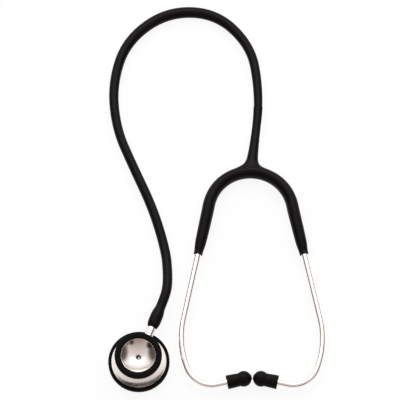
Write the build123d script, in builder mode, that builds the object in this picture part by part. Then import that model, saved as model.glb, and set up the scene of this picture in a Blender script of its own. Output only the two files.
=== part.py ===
# Acoustic stethoscope with a two-sided chestpiece, laid flat on a table with its bell up.
# Sizes are in millimetres. The origin is the centre of the diaphragm's outer face, +Z points up
# through the bell, and +Y points from the ear tips to the yoke.
from math import cos, pi, radians, sin, sqrt, tan
import os

from build123d import *

# Fits
running_gap = 0.05
seat_gap = 0.03

# Diaphragm: a thin disc whose edge steps up, so that its face is the lowest thing on the chestpiece
diaphragm_face_diameter = 40.4
diaphragm_edge_diameter = 43.8
diaphragm_thickness = 0.45
diaphragm_step = 0.75
diaphragm_step_run = 0.5

# Ring that snaps over the edge of the chestpiece and holds the diaphragm
diaphragm_rim_diameter = 47.5
diaphragm_rim_top = 5.4
diaphragm_rim_lip = 0.4
diaphragm_rim_window = 42.2
diaphragm_rim_hook_window = 42.4
rim_edge_radius = 0.7

# Chestpiece body
flange_height = 3.3
chamber_diameter = 41.0
chamber_edge_height = 0.7
chamber_depth = 2.2
waist_diameter = 17.0
waist_top = 13.4
flange_slope_end = 9.4
flange_slope_sag = 1.6
bell_height = 22.5
bell_lip_diameter = 33.8
bell_lip_thickness = 1.6
bell_cone_diameter = 30.6
bell_cone_sag = 0.9
bell_floor = 15.8
dish_sag = 0.9
port_diameter = 4.2
port_throat_diameter = 2.8

# Ring on the edge of the bell
bell_rim_diameter = 36.4
bell_rim_window = 26.4
bell_rim_top_thickness = 0.85
bell_rim_hook_height = 1.1
bell_rim_hook_window = 31.8

# Stem: a hollow shaft that the chestpiece turns on, with a barb for the hose
stem_height = 10.4
stem_heading = 68.5
shaft_diameter = 5.0
shaft_inner_end = -4.8
flange_position = 9.7
stem_flange_diameter = 8.1
stem_flange_thickness = 1.0
stem_diameter = 6.7
stem_shoulder = 27.2
barb_root_diameter = 4.7
barb_diameter = 6.4
barb_position = 36.0
stem_end = 42.5
stem_bore = 3.0
stem_bore_depth = 2.0
boss_diameter = 10.4
boss_reach = 13.5
seal_position = 5.4
seal_section = 0.56
seal_groove_width = 0.8
seal_groove_depth = 0.55

# Click stop: a sprung ball that drops into a pit on each side of the shaft
detent_position = -3.2
detent_ball_diameter = 2.2
detent_groove_depth = 0.3
detent_pit_depth = 0.3
detent_spring_diameter = 2.0
detent_spring_wire = 0.36
detent_spring_turns = 4
detent_spring_length = 1.9
detent_screw_length = 1.4
detent_screw_socket = 1.1

# Hose and the end of it that is stretched over the barb
hose_diameter = 7.7
hose_bore = 4.0
hose_height = hose_diameter / 2
hose_mouth_diameter = 7.4
hose_bulge_diameter = 9.9
hose_end_position = 46.0
hose_exit_run = 8.5

# Headset: the yoke's arch, the legs that splay from it, and the ear tubes
headset_axis_x = 87.6
crown_y = 156.3
arch_radius = 33.5
leg_splay = 12.0
flex_angle = 38.0
yoke_width = 9.9
yoke_depth = 12.2
sleeve_diameter = 9.3
sleeve_mouth_diameter = 7.1
sleeve_lip_diameter = 7.5
sleeve_lip_length = 1.2
sleeve_taper_length = 15.0
sleeve_length = 43.9
sound_channel = 3.0

# Leaf spring moulded into the yoke, with a cuff round the end of each ear tube
leaf_thickness = 0.8
leaf_width = 4.6
leaf_offset = 3.0
cuff_thickness = 0.75
cuff_length = 8.0
cuff_opening = 3.4

# Ear tubes
ear_tube_diameter = 4.76
ear_tube_wall = 0.6
ear_tube_insertion = 30.0
knee_distance = 118.4
knee_turn = 32.0
knee_radius = 70.0
shin_length = 38.9
corner_radius = 20.0
tip_rise = 12.4

# Ear tips and the beads that they snap over
ear_tip_gap = 0.3
bulb_diameter = 12.2
tip_sleeve_diameter = 10.1
tip_mouth_diameter = 10.8
tip_length = 19.25
tip_sound_hole = 2.5
tip_nub_diameter = 3.9
tip_nub_height = 0.1
ear_tube_seat_depth = 8.0
bead_diameter = 7.2
bead_collar_diameter = 6.1
bead_length = 7.0

# Where the hose lies: out of the chestpiece, down to the table, round the loop and into the yoke
stem_direction = Vector(cos(radians(stem_heading)), sin(radians(stem_heading)), 0)
hose_start = stem_direction * hose_end_position + Vector(0, 0, stem_height)
hose_exit = hose_start + stem_direction * hose_exit_run
hose_route = [
    (hose_start.X, hose_start.Y, hose_start.Z),
    (hose_exit.X, hose_exit.Y, hose_exit.Z),
    (21.8, 59.4, 9.7),
    (21.9, 71.5, 7.6),
    (20.3, 90.0, 4.0),
    (10.0, 125.7, 3.85),
    (-7.5, 164.3, 3.85),
    (-20.6, 195.5, 3.85),
    (-24.4, 234.6, 3.85),
    (-13.3, 273.4, 3.85),
    (19.8, 299.7, 3.85),
    (60.4, 298.5, 3.85),
    (88.8, 269.2, 3.85),
    (95.1, 233.5, 3.85),
    (94.6, 215.0, 3.85),
]

os.makedirs("parts", exist_ok=True)


def save(piece, label):
    """Name a finished piece and write it as a STEP file of that name."""
    piece.label = label
    export_step(piece, f"parts/{label}.step")


# The diaphragm and its ring
diaphragm_edge_top = diaphragm_step + diaphragm_thickness
face_radius = diaphragm_face_diameter / 2
edge_radius = diaphragm_edge_diameter / 2
wall_run = diaphragm_step_run / 2

with BuildPart() as diaphragm:
    with BuildSketch(Plane.XZ):
        with BuildLine():
            Polyline(
                (0, 0),
                (face_radius, 0),
                (face_radius + diaphragm_step_run, diaphragm_step),
                (edge_radius, diaphragm_step),
                (edge_radius, diaphragm_edge_top),
                (face_radius + wall_run, diaphragm_edge_top),
                (face_radius - wall_run, diaphragm_thickness),
                (0, diaphragm_thickness),
                close=True,
            )
        make_face()
    revolve(axis=Axis.Z)
save(diaphragm.part, "diaphragm")

flange_radius = edge_radius + seat_gap
flange_top = diaphragm_edge_top + flange_height
rim_bore_radius = flange_radius + seat_gap
rim_lip_top = diaphragm_step - seat_gap
rim_radius = diaphragm_rim_diameter / 2

with BuildPart() as diaphragm_rim:
    with BuildSketch(Plane.XZ):
        with BuildLine():
            Polyline(
                (diaphragm_rim_window / 2, rim_lip_top - diaphragm_rim_lip),
                (rim_radius, rim_lip_top - diaphragm_rim_lip),
                (rim_radius, diaphragm_rim_top),
                (diaphragm_rim_hook_window / 2, diaphragm_rim_top),
                (diaphragm_rim_hook_window / 2, flange_top + seat_gap),
                (rim_bore_radius, flange_top + seat_gap),
                (rim_bore_radius, rim_lip_top),
                (diaphragm_rim_window / 2, rim_lip_top),
                close=True,
            )
        make_face()
    revolve(axis=Axis.Z)
    outer_edges = diaphragm_rim.edges().filter_by(GeomType.CIRCLE).group_by(SortBy.RADIUS)[-1]
    fillet(outer_edges, radius=rim_edge_radius)
save(diaphragm_rim.part, "diaphragm_rim")

# The body of the chestpiece: diaphragm chamber, waist and bell turned as one piece
stem_plane = Plane(
    origin=(0, 0, stem_height),
    x_dir=(stem_direction.X, stem_direction.Y, 0),
    z_dir=(stem_direction.Y, -stem_direction.X, 0),
)
stem_axis = Axis(stem_plane.origin, stem_plane.x_dir)
detent_direction = stem_plane.z_dir


def across_stem(position):
    """A plane square to the stem, at a distance along it from the chestpiece's centre."""
    return Plane(
        origin=stem_plane.origin + stem_direction * position,
        x_dir=stem_plane.z_dir,
        z_dir=stem_direction,
    )


def beside_stem(reach):
    """A plane square to the click stop's pocket, at a distance out from the stem's axis."""
    return Plane(
        origin=stem_plane.origin + stem_direction * detent_position + detent_direction * reach,
        x_dir=stem_direction,
        z_dir=detent_direction,
    )


waist_radius = waist_diameter / 2
lip_radius = bell_lip_diameter / 2
cone_radius = bell_cone_diameter / 2
bell_lip_top = bell_height - bell_rim_top_thickness - seat_gap
bell_lip_bottom = bell_lip_top - bell_lip_thickness
bell_mouth_radius = bell_rim_window / 2 + seat_gap
chamber_edge = diaphragm_edge_top + chamber_edge_height
shaft_bore_radius = shaft_diameter / 2 + running_gap
nut_bore_radius = stem_flange_diameter / 2 + running_gap
pocket_radius = detent_ball_diameter / 2 + running_gap

with BuildPart() as chest_body:
    with BuildSketch(Plane.XZ):
        with BuildLine():
            Polyline(
                (0, bell_floor),
                (0, diaphragm_edge_top + chamber_depth),
                (chamber_diameter / 2, chamber_edge),
                (chamber_diameter / 2, diaphragm_edge_top),
                (flange_radius, diaphragm_edge_top),
                (flange_radius, flange_top),
                (diaphragm_rim_hook_window / 2, flange_top),
            )
            SagittaArc(
                (diaphragm_rim_hook_window / 2, flange_top),
                (waist_radius, flange_slope_end),
                flange_slope_sag,
            )
            Line((waist_radius, flange_slope_end), (waist_radius, waist_top))
            SagittaArc((waist_radius, waist_top), (cone_radius, bell_lip_bottom), bell_cone_sag)
            Polyline(
                (cone_radius, bell_lip_bottom),
                (lip_radius, bell_lip_bottom),
                (lip_radius, bell_lip_top),
                (bell_mouth_radius, bell_lip_top),
            )
            SagittaArc((bell_mouth_radius, bell_lip_top), (port_diameter / 2, bell_floor), dish_sag)
            Line((port_diameter / 2, bell_floor), (0, bell_floor))
        make_face()
    revolve(axis=Axis.Z)
    with BuildSketch(across_stem(0)):
        Circle(boss_diameter / 2)
    extrude(amount=boss_reach)
    with BuildSketch(across_stem(shaft_inner_end - running_gap)):
        Circle(shaft_bore_radius)
    extrude(amount=boss_reach + shaft_diameter, mode=Mode.SUBTRACT)
    with BuildSketch(across_stem(flange_position - running_gap)):
        Circle(nut_bore_radius)
    extrude(amount=boss_reach, mode=Mode.SUBTRACT)
    with BuildSketch(Plane.XY.offset(stem_height)):
        Circle(port_throat_diameter / 2)
    extrude(amount=bell_floor, both=True, mode=Mode.SUBTRACT)
    with BuildSketch(Plane.XY.offset(bell_floor - port_diameter / 4)):
        Circle(port_diameter / 2)
    extrude(amount=port_diameter, mode=Mode.SUBTRACT)
    with BuildSketch(beside_stem(0)):
        Circle(pocket_radius)
    extrude(amount=waist_diameter, mode=Mode.SUBTRACT)
save(chest_body.part, "chestpiece_body")

with BuildPart() as bell_rim:
    with BuildSketch(Plane.XZ):
        with BuildLine():
            Polyline(
                (bell_rim_window / 2, bell_height),
                (bell_rim_window / 2, bell_lip_top + seat_gap),
                (lip_radius + seat_gap, bell_lip_top + seat_gap),
                (lip_radius + seat_gap, bell_lip_bottom - seat_gap),
                (bell_rim_hook_window / 2, bell_lip_bottom - seat_gap),
                (bell_rim_hook_window / 2, bell_lip_bottom - bell_rim_hook_height),
                (bell_rim_diameter / 2, bell_lip_bottom - bell_rim_hook_height),
                (bell_rim_diameter / 2, bell_height),
                close=True,
            )
        make_face()
    revolve(axis=Axis.Z)
    top_edges = bell_rim.edges().filter_by(GeomType.CIRCLE).group_by(SortBy.RADIUS)[-1]
    fillet(top_edges, radius=rim_edge_radius)
    window_edge = bell_rim.edges().filter_by(GeomType.CIRCLE).group_by(Axis.Z)[-1]
    fillet(window_edge.sort_by(SortBy.RADIUS)[0], radius=bell_rim_top_thickness / 2)
save(bell_rim.part, "bell_rim")

# The stem, drawn as half its outline along its own axis
shaft_radius = shaft_diameter / 2
flange_end = flange_position + stem_flange_thickness
detent_groove_width = detent_ball_diameter + 2 * running_gap
seal_start = seal_position - seal_groove_width / 2
seal_end = seal_position + seal_groove_width / 2
groove_start = detent_position - detent_groove_width / 2
groove_end = detent_position + detent_groove_width / 2

with BuildPart() as stem:
    with BuildSketch(stem_plane):
        with BuildLine():
            Polyline(
                (shaft_inner_end, 0),
                (shaft_inner_end, shaft_radius),
                (groove_start, shaft_radius),
                (groove_start, shaft_radius - detent_groove_depth),
                (groove_end, shaft_radius - detent_groove_depth),
                (groove_end, shaft_radius),
                (seal_start, shaft_radius),
                (seal_start, shaft_radius - seal_groove_depth),
                (seal_end, shaft_radius - seal_groove_depth),
                (seal_end, shaft_radius),
                (flange_position, shaft_radius),
                (flange_position, stem_flange_diameter / 2),
                (flange_end, stem_flange_diameter / 2),
                (flange_end, stem_diameter / 2),
                (stem_shoulder, stem_diameter / 2),
                (stem_shoulder, barb_root_diameter / 2),
                (barb_position - barb_diameter / 2, barb_root_diameter / 2),
                (barb_position, barb_diameter / 2),
                (stem_end, barb_root_diameter / 2),
                (stem_end, 0),
                close=True,
            )
        make_face()
    revolve(axis=stem_axis)
    with BuildSketch(across_stem(stem_end)):
        Circle(stem_bore / 2)
    extrude(amount=-stem_end - stem_bore_depth, mode=Mode.SUBTRACT)
    with BuildSketch(Plane.XY.offset(stem_height)):
        Circle(port_throat_diameter / 2)
    extrude(amount=shaft_diameter, mode=Mode.SUBTRACT)
    pit_reach = shaft_radius - detent_groove_depth - detent_pit_depth + detent_ball_diameter / 2
    with Locations(beside_stem(pit_reach), beside_stem(-pit_reach)):
        Sphere(detent_ball_diameter / 2, mode=Mode.SUBTRACT)
save(stem.part, "stem")

seal_radius = shaft_radius - seal_groove_depth + seal_section / 2 + seat_gap / 2

with BuildPart() as stem_seal:
    with BuildSketch(stem_plane):
        with Locations((seal_position, seal_radius)):
            Circle(seal_section / 2)
    revolve(axis=stem_axis)
save(stem_seal.part, "stem_seal")

nut_start = flange_end + running_gap
nut_inner_radius = stem_diameter / 2 + running_gap
nut_outer_radius = nut_bore_radius - seat_gap

with BuildPart() as stem_nut:
    with BuildSketch(across_stem(nut_start)):
        Circle(nut_outer_radius)
        Circle(nut_inner_radius, mode=Mode.SUBTRACT)
    extrude(amount=boss_reach - nut_start)
    with BuildSketch(across_stem(boss_reach)):
        Rectangle(2 * boss_diameter, stem_flange_thickness)
    extrude(amount=-stem_flange_thickness, mode=Mode.SUBTRACT)
save(stem_nut.part, "stem_nut")

# The click stop, from the shaft outwards
ball_reach = shaft_radius - detent_groove_depth + running_gap + detent_ball_diameter / 2
spring_start = ball_reach + detent_ball_diameter / 2 - detent_spring_wire / 2
screw_start = spring_start + detent_spring_length + detent_spring_wire
screw_radius = pocket_radius - seat_gap

with BuildPart() as detent_ball:
    with Locations(beside_stem(ball_reach)):
        Sphere(detent_ball_diameter / 2)
save(detent_ball.part, "detent_ball")

spring_radius = (detent_spring_diameter - detent_spring_wire) / 2
spring_foot = beside_stem(spring_start + detent_spring_wire / 2)

with BuildPart() as detent_spring:
    with BuildLine():
        coil = Helix(
            pitch=detent_spring_length / detent_spring_turns,
            height=detent_spring_length - detent_spring_wire / 2,
            radius=spring_radius,
            center=spring_foot.origin,
            direction=spring_foot.z_dir,
        )
    with BuildSketch(Plane(origin=coil @ 0, z_dir=coil % 0)):
        RegularPolygon(detent_spring_wire / 2, 6)
    sweep(path=coil)
save(detent_spring.part, "detent_spring")

with BuildPart() as detent_screw:
    with BuildSketch(beside_stem(screw_start)):
        Circle(screw_radius)
    extrude(amount=detent_screw_length)
    with BuildSketch(beside_stem(screw_start + detent_screw_length)):
        RegularPolygon(detent_screw_socket / 2, 6)
    extrude(amount=-detent_screw_length / 2, mode=Mode.SUBTRACT)
save(detent_screw.part, "detent_screw")

# The end of the hose, stretched over the stem's barb
stretch_root = barb_root_diameter / 2 + seat_gap
stretch_barb = barb_diameter / 2 + seat_gap
bulge_start = barb_position - barb_diameter / 2

with BuildPart() as hose_end:
    with BuildSketch(stem_plane):
        with BuildLine():
            Polyline(
                (hose_end_position, hose_diameter / 2),
                (hose_end_position, hose_bore / 2),
                (stem_end + seat_gap, hose_bore / 2),
                (stem_end + seat_gap, stretch_root),
                (barb_position, stretch_barb),
                (bulge_start, stretch_root),
                (stem_shoulder, stretch_root),
                (stem_shoulder, hose_mouth_diameter / 2),
            )
            Spline(
                (stem_shoulder, hose_mouth_diameter / 2),
                (barb_position, hose_bulge_diameter / 2),
                (hose_end_position, hose_diameter / 2),
                tangents=((1, 0.35), (1, 0)),
            )
        make_face()
    revolve(axis=stem_axis)
save(hose_end.part, "hose_end")

# The hose itself, a plain tube along straight runs and tangent arcs
route = [Vector(*point) for point in hose_route]
bend_radii = []
for before, corner, after in zip(route, route[1:], route[2:]):
    shorter_run = min((corner - before).length, (after - corner).length)
    turn = (corner - before).get_angle(after - corner)
    bend_radii.append(0.45 * shorter_run / tan(radians(turn / 2)))
print("hose bend radii", [round(radius) for radius in bend_radii])

with BuildPart() as hose:
    with BuildLine() as hose_line:
        FilletPolyline(*route, radius=bend_radii)
    with BuildSketch(Plane(origin=route[0], z_dir=route[1] - route[0])):
        Circle(hose_diameter / 2)
        Circle(hose_bore / 2, mode=Mode.SUBTRACT)
    sweep(path=hose_line.wires()[0])
hose_length = hose_line.wires()[0].length
hose_section = pi * (hose_diameter**2 - hose_bore**2) / 4
print("hose length", round(hose_length, 1), "volume share", hose.part.volume / hose_section / hose_length)
save(hose.part, "hose")

# The headset lies level, with the bulbs of its ear tips and the crown of its yoke on the table
headset_height = bulb_diameter / 2
headset_plane = Plane(origin=(headset_axis_x, crown_y, headset_height))
middle_plane = Plane.YZ.offset(headset_axis_x)
arch_end_angle = 90 - leg_splay


def arch_point(angle, offset=0.0):
    """A point on the arch in the headset's plane, by its angle from the crown."""
    radius = arch_radius + offset
    return (radius * sin(radians(angle)), radius * cos(radians(angle)) - arch_radius)


def along_leg(distance, offset=0.0):
    """A point on the right leg's straight line, measured from the end of the arch."""
    start = arch_point(arch_end_angle, offset)
    heading = radians(leg_splay)
    return (start[0] + distance * sin(heading), start[1] - distance * cos(heading))


def headset_section(point, heading):
    """A plane square to the headset at a point of its plane, heading in degrees from +X."""
    direction = Vector(cos(radians(heading)), sin(radians(heading)), 0)
    sideways = Vector(-direction.Y, direction.X, 0)
    origin = headset_plane.from_local_coords(Vector(*point, 0))
    return Plane(origin=origin, x_dir=sideways, z_dir=direction)


leg_heading = leg_splay - 90

# Sections of the yoke's neck: distance above the crown, lean to the right, height, width, depth
neck_sections = [
    (route[-1].Y - crown_y, route[-1].X - headset_axis_x, hose_height, hose_diameter, hose_diameter),
    (49.0, 6.3, 4.0, 6.9, 6.9),
    (39.1, 5.4, 4.4, 6.5, 6.6),
    (25.3, 3.5, 5.1, 7.0, 7.6),
    (13.2, 2.1, 5.8, 8.9, 9.6),
    (7.5, 1.3, 6.0, 11.8, 10.8),
    (2.0, 0.6, headset_height, 17.0, 11.4),
]
neck_points = [
    Vector(headset_axis_x + lean, crown_y + rise, height) for rise, lean, height, _, _ in neck_sections
]
neck_ways = [route[-1] - route[-2]]
for before, after in zip(neck_points, neck_points[2:]):
    neck_ways.append(after - before)
neck_ways.append(Vector(0, -1, 0))
neck_planes = [
    Plane(origin=point, x_dir=Vector(0, 0, 1).cross(way), z_dir=way)
    for point, way in zip(neck_points, neck_ways)
]

with BuildPart() as yoke:
    with BuildLine(headset_plane):
        yoke_arch = CenterArc((0, -arch_radius), arch_radius, 90 - flex_angle, 2 * flex_angle)
    with BuildSketch(headset_section(arch_point(flex_angle), 180 - flex_angle)):
        Ellipse(yoke_width / 2, yoke_depth / 2)
    sweep(path=yoke_arch)
    for plane, (_, _, _, width, depth) in zip(neck_planes, neck_sections):
        with BuildSketch(plane):
            Ellipse(width / 2, depth / 2)
    loft()
    with BuildSketch(headset_section(arch_point(flex_angle), 180 - flex_angle)):
        Circle(sound_channel / 2)
        with Locations((leaf_offset, 0)):
            Rectangle(leaf_thickness + 2 * seat_gap, leaf_width + 2 * seat_gap)
    sweep(path=yoke_arch, mode=Mode.SUBTRACT)
    for plane in neck_planes:
        with BuildSketch(plane):
            Circle(sound_channel / 2)
    loft(mode=Mode.SUBTRACT)
save(yoke.part, "yoke")

# Each arm is the rest of the arch and the sleeve that grips the ear tube
tube_start = sleeve_length - ear_tube_insertion
cuff_radius = ear_tube_diameter / 2 + running_gap + cuff_thickness
taper_start = sleeve_length - sleeve_taper_length
leg_foot = headset_plane.from_local_coords(Vector(*along_leg(0), 0))
leg_plane = Plane(
    origin=leg_foot,
    x_dir=(cos(radians(leg_heading)), sin(radians(leg_heading)), 0),
    z_dir=(0, 0, 1),
)

with BuildPart() as right_arm:
    with BuildLine(headset_plane):
        right_arch = CenterArc(
            (0, -arch_radius), arch_radius, 90 - flex_angle, flex_angle - arch_end_angle
        )
    with BuildSketch(headset_section(arch_point(flex_angle), -flex_angle)):
        Ellipse(yoke_width / 2, yoke_depth / 2)
    sweep(path=right_arch)
    with BuildSketch(headset_section(along_leg(0), leg_heading)):
        Ellipse(yoke_width / 2, yoke_depth / 2)
    with BuildSketch(headset_section(along_leg(taper_start), leg_heading)):
        Circle(sleeve_diameter / 2)
    loft()
    with BuildSketch(leg_plane):
        with BuildLine():
            Polyline(
                (taper_start, sleeve_diameter / 2),
                (taper_start, 0),
                (sleeve_length, 0),
                (sleeve_length, sleeve_lip_diameter / 2),
                (sleeve_length - sleeve_lip_length, sleeve_mouth_diameter / 2),
            )
            Spline(
                (sleeve_length - sleeve_lip_length, sleeve_mouth_diameter / 2),
                (taper_start, sleeve_diameter / 2),
                tangents=((-1, 0.1), (-1, 0)),
            )
        make_face()
    revolve(axis=Axis(leg_plane.origin, leg_plane.x_dir))
    with BuildSketch(headset_section(arch_point(flex_angle), -flex_angle)):
        Circle(sound_channel / 2)
        with Locations((-leaf_offset, 0)):
            Rectangle(leaf_thickness + 2 * seat_gap, leaf_width + 2 * seat_gap)
    sweep(path=right_arch, mode=Mode.SUBTRACT)
    with BuildSketch(headset_section(along_leg(0), leg_heading)):
        Circle(sound_channel / 2)
        with Locations((-leaf_offset, 0)):
            Rectangle(leaf_thickness + 2 * seat_gap, leaf_width + 2 * seat_gap)
    extrude(amount=tube_start + cuff_length + seat_gap, mode=Mode.SUBTRACT)
    with BuildSketch(headset_section(along_leg(tube_start - seat_gap), leg_heading)):
        Circle(cuff_radius + seat_gap)
    extrude(amount=cuff_length + 2 * seat_gap, mode=Mode.SUBTRACT)
    with BuildSketch(headset_section(along_leg(tube_start), leg_heading)):
        Circle(ear_tube_diameter / 2 + running_gap)
    extrude(amount=sleeve_length, mode=Mode.SUBTRACT)
save(right_arm.part, "right_arm_sleeve")

with BuildPart() as left_arm:
    mirror(right_arm.part, about=middle_plane)
save(left_arm.part, "left_arm_sleeve")

with BuildPart() as leaf_spring:
    with BuildLine(headset_plane):
        leaf_arch = CenterArc(
            (0, -arch_radius), arch_radius - leaf_offset, 90, -arch_end_angle
        )
    with BuildSketch(headset_section(arch_point(0, -leaf_offset), 0)):
        Rectangle(leaf_thickness, leaf_width)
    sweep(path=leaf_arch)
    with BuildSketch(headset_section(along_leg(0, -leaf_offset), leg_heading)):
        Rectangle(leaf_thickness, leaf_width)
    extrude(amount=tube_start + cuff_length)
    with BuildSketch(headset_section(along_leg(tube_start), leg_heading)):
        Circle(cuff_radius)
        Circle(cuff_radius - cuff_thickness, mode=Mode.SUBTRACT)
        with Locations((cuff_radius, 0)):
            Rectangle(2 * cuff_radius, cuff_opening, mode=Mode.SUBTRACT)
    extrude(amount=cuff_length)
    mirror(about=middle_plane)
save(leaf_spring.part, "leaf_spring")

# The ear tube: straight out of its sleeve, a long knee, then a tight corner towards the other ear
shin_heading = leg_heading - knee_turn
knee = Vector(*along_leg(knee_distance))
corner = knee + Vector(cos(radians(shin_heading)), sin(radians(shin_heading))) * shin_length
tip_heading = 180 - tip_rise
tip_direction = Vector(cos(radians(tip_heading)), sin(radians(tip_heading)))
nub_reach = (bulb_diameter / 2 + tip_nub_height) * cos(radians(tip_rise))
nub_reach += tip_nub_diameter / 2 * sin(radians(tip_rise))
bulb_centre_reach = (corner.X - nub_reach - ear_tip_gap / 2) / cos(radians(tip_rise))
tip_base_reach = bulb_centre_reach + bulb_diameter / 2 - tip_length
tip_base = corner + tip_direction * tip_base_reach
tube_end = tip_base + tip_direction * ear_tube_seat_depth

with BuildPart() as right_tube:
    with BuildLine(headset_plane) as tube_line:
        FilletPolyline(
            along_leg(tube_start),
            (knee.X, knee.Y),
            (corner.X, corner.Y),
            (tube_end.X, tube_end.Y),
            radius=[knee_radius, corner_radius],
        )
    with BuildSketch(headset_section(along_leg(tube_start), leg_heading)):
        Circle(ear_tube_diameter / 2)
        Circle(ear_tube_diameter / 2 - ear_tube_wall, mode=Mode.SUBTRACT)
    sweep(path=tube_line.wires()[0])
save(right_tube.part, "right_ear_tube")

with BuildPart() as left_tube:
    mirror(right_tube.part, about=middle_plane)
save(left_tube.part, "left_ear_tube")

# The ear tip's plane holds its axis as local X, and its outline is turned about that axis
tip_plane = Plane(
    origin=headset_plane.from_local_coords(Vector(tip_base.X, tip_base.Y, 0)),
    x_dir=tip_direction,
    z_dir=(0, 0, 1),
)
tip_axis = Axis(tip_plane.origin, tip_plane.x_dir)
bulb_radius = bulb_diameter / 2
bulb_centre = tip_length - bulb_radius
neck_position = bulb_centre - sqrt(bulb_radius**2 - (tip_sleeve_diameter / 2) ** 2)
nose_position = bulb_centre + sqrt(bulb_radius**2 - (tip_nub_diameter / 2) ** 2)
collar_radius = bead_collar_diameter / 2
bead_radius = bead_diameter / 2
bead_seat = ear_tube_seat_depth - bead_length

with BuildPart() as right_bead:
    with BuildSketch(tip_plane):
        with BuildLine():
            Polyline(
                (bead_seat, ear_tube_diameter / 2 + seat_gap),
                (bead_seat, collar_radius),
                (bead_seat + bead_length / 2, collar_radius),
                (bead_seat + 0.6 * bead_length, bead_radius),
                (bead_seat + 0.8 * bead_length, bead_radius),
                (ear_tube_seat_depth, collar_radius),
                (ear_tube_seat_depth, ear_tube_diameter / 2 + seat_gap),
                close=True,
            )
        make_face()
    revolve(axis=tip_axis)
save(right_bead.part, "right_tip_bead")

with BuildPart() as left_bead:
    mirror(right_bead.part, about=middle_plane)
save(left_bead.part, "left_tip_bead")

with BuildPart() as right_tip:
    with BuildSketch(tip_plane):
        with BuildLine():
            Polyline(
                (nose_position, tip_nub_diameter / 2),
                (tip_length + tip_nub_height, tip_nub_diameter / 2 - tip_nub_height),
                (tip_length + tip_nub_height, tip_sound_hole / 2),
                (ear_tube_seat_depth + seat_gap, tip_sound_hole / 2),
                (ear_tube_seat_depth + seat_gap, collar_radius + seat_gap),
                (bead_seat + 0.8 * bead_length + seat_gap, bead_radius + seat_gap),
                (bead_seat + 0.6 * bead_length - seat_gap, bead_radius + seat_gap),
                (bead_seat + bead_length / 2 - seat_gap, collar_radius + seat_gap),
                (0, collar_radius + seat_gap),
                (0, tip_mouth_diameter / 2),
            )
            Line((0, tip_mouth_diameter / 2), (neck_position, tip_sleeve_diameter / 2))
            ThreePointArc(
                (neck_position, tip_sleeve_diameter / 2),
                (bulb_centre, bulb_radius),
                (nose_position, tip_nub_diameter / 2),
            )
        make_face()
    revolve(axis=tip_axis)
save(right_tip.part, "right_ear_tip")

with BuildPart() as left_tip:
    mirror(right_tip.part, about=middle_plane)
save(left_tip.part, "left_ear_tip")
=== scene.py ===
# %% [markdown]
# # A stethoscope, dressed for its portrait
# The instrument lies flat on a white table, seen from above. Its measured solids come from a CAD
# model, and this file gives each piece the shape and the finish that the eye meets. Everything is in
# metres and in the CAD model's own frame: the origin is the middle of the diaphragm's face, +Z points
# up out of the bell, and +Y points from the ear tips to the yoke.

import bmesh
import bpy
from math import asin, atan2, cos, hypot, pi, radians, sin, sqrt, tan
from mathutils import Matrix, Vector


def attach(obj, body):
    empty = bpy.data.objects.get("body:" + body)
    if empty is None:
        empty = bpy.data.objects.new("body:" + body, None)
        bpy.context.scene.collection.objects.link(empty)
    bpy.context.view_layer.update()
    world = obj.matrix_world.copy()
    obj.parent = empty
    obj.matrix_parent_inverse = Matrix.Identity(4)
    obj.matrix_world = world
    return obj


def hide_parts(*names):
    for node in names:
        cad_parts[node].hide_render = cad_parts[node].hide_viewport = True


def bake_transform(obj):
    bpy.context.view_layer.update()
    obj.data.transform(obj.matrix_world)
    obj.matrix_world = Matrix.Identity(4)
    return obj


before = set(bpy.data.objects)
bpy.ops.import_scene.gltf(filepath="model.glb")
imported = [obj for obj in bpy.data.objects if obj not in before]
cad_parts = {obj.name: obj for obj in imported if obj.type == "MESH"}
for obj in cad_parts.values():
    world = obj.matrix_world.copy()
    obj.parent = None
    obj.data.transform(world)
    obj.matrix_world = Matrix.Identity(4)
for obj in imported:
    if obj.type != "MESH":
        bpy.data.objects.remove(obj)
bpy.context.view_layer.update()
mm = 0.001

# %% [markdown]
# The photographer stood a metre and a half back with a long lens, and looked down at 69.6 degrees, so
# the far end of the loop is only a little smaller than the near end. The camera's place was worked out
# from the two black rings of the chestpiece, whose sizes and heights are known.

# %% Camera
scene = bpy.context.scene
camera_lens = bpy.data.cameras.new("studio_camera")
camera_lens.sensor_width = 36
camera_lens.lens = 168.5
camera_lens.clip_start = 0.05
camera_lens.clip_end = 50
camera = bpy.data.objects.new("studio_camera", camera_lens)
camera.location = (0.0473, -0.3880, 1.4059)
camera.rotation_euler = (radians(90 - 69.6), 0, 0)
scene.collection.objects.link(camera)
scene.camera = camera
scene.view_settings.view_transform = "Standard"
print("camera", [round(x, 4) for x in camera.location])

# %% [markdown]
# A small kit for materials. Colours are written as sRGB hex values, as a paint chart gives them, and
# turned to linear light for the shader. One function adds a node with its settings and its links.


# %% Material kit
def linear(hex_colour):
    """Turn an sRGB hex colour such as "#1a1517" into linear red, green, blue and alpha."""
    channels = [int(hex_colour[i : i + 2], 16) / 255 for i in (1, 3, 5)]
    return [c / 12.92 if c < 0.04045 else ((c + 0.055) / 1.055) ** 2.4 for c in channels] + [1.0]


def add_node(tree, kind, settings=None, **links):
    """Add one node. Settings are its properties; links are its inputs, as values or as sockets.

    An input is named with underscores for its spaces, or as i0, i1 and so on by its index.
    """
    node = tree.nodes.new(kind)
    for name, value in (settings or {}).items():
        setattr(node, name, value)
    for name, value in links.items():
        by_index = name[0] == "i" and name[1:].isdigit()
        socket = node.inputs[int(name[1:]) if by_index else name.replace("_", " ")]
        if isinstance(value, bpy.types.NodeSocket):
            tree.links.new(value, socket)
        else:
            socket.default_value = value
    return node


def new_material(name):
    """An empty material with a Principled shader on its output."""
    material = bpy.data.materials.new(name)
    material.use_nodes = True
    tree = material.node_tree
    tree.nodes.clear()
    shader = tree.nodes.new("ShaderNodeBsdfPrincipled")
    output = tree.nodes.new("ShaderNodeOutputMaterial")
    tree.links.new(shader.outputs["BSDF"], output.inputs["Surface"])
    return material, tree, shader


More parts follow.
